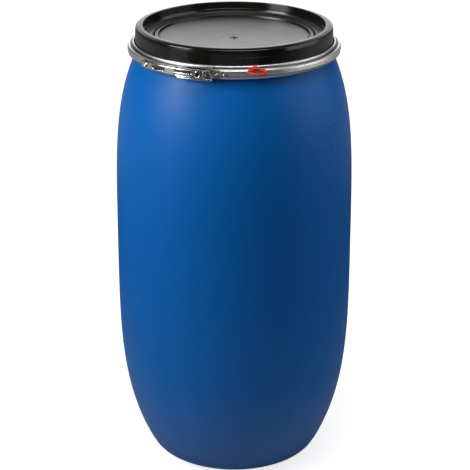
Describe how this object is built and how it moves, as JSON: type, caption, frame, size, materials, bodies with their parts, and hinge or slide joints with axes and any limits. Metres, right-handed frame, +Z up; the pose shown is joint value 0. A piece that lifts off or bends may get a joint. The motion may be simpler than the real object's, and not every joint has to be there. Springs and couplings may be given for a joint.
{
  "type": "open-head drum",
  "caption": "Barrel-shaped plastic drum with a recessed moulded lid, a steel clamp band with a lever closure, and a looped seal pin.",
  "frame": {"origin": "centre of the drum's base, on the floor", "axes": "+Z up along the drum's axis; -Y is the front, and the lever closure is on the front, towards -X"},
  "size_m": [0.501, 0.501, 0.956],
  "materials": {
    "drum_plastic": "blow-moulded polyethylene, satin, faintly pebbled",
    "lid_plastic": "injection-moulded polyethylene, satin",
    "gasket": "foamed rubber, matte",
    "band_steel": "zinc-plated rolled strip, soft sheen",
    "closure_steel": "zinc-plated pressed sheet and wire, bright edges",
    "seal_plastic": "moulded plastic, slightly glossy"
  },
  "bodies": {
    "drum": {"drum_body": "drum_plastic"},
    "lid": {"drum_lid": "lid_plastic", "lid_gasket": "gasket"},
    "band_left": {"clamp_band_left": "band_steel", "hinge_bracket": "closure_steel", "hinge_rivet_1": "closure_steel", "hinge_rivet_2": "closure_steel", "lever_pin": "closure_steel"},
    "band_right": {"clamp_band_right": "band_steel", "catch_bracket": "closure_steel", "catch_rivet_1": "closure_steel", "catch_rivet_2": "closure_steel"},
    "lever": {"lever": "closure_steel", "lever_eyelet": "closure_steel"},
    "bail": {"draw_bail": "closure_steel"},
    "seal_pin": {"seal_pin": "seal_plastic"}
  },
  "joints": [
    {"name": "lever_swing", "type": "hinge", "parent": "band_left", "child": "lever", "pos_m": [-0.06034, -0.21759, 0.909], "axis": [0, 0, 1], "range_deg": [0, 150]},
    {"name": "bail_swing", "type": "hinge", "parent": "lever", "child": "bail", "pos_m": [-0.11412, -0.1953, 0.909], "axis": [0, 0, -1], "range_deg": [0, 95.8]},
    {"name": "band_left_open", "type": "hinge", "parent": "drum", "child": "band_left", "pos_m": [0, 0.2206, 0.909], "axis": [0, 0, -1], "range_deg": [0, 5.25], "deforming": ["clamp_band_left"]},
    {"name": "band_right_open", "type": "hinge", "parent": "drum", "child": "band_right", "pos_m": [0, 0.2206, 0.909], "axis": [0, 0, 1], "range_deg": [0, 5.25], "deforming": ["clamp_band_right"]},
    {"name": "lid_lift", "type": "slide", "parent": "drum", "child": "lid", "axis": [0, 0, 1], "range_m": [0, 0.15]},
    {"name": "seal_pin_pull", "type": "slide", "parent": "band_right", "child": "seal_pin", "axis": [0, 0, 1], "range_m": [0, 0.03]}
  ],
  "couplings": [
    {"joint": "bail_swing", "follows": "lever_swing", "ratio": 0.63611},
    {"joint": "band_left_open", "follows": "lever_swing", "ratio": 0.034744},
    {"joint": "band_right_open", "follows": "lever_swing", "ratio": 0.034744}
  ]
}
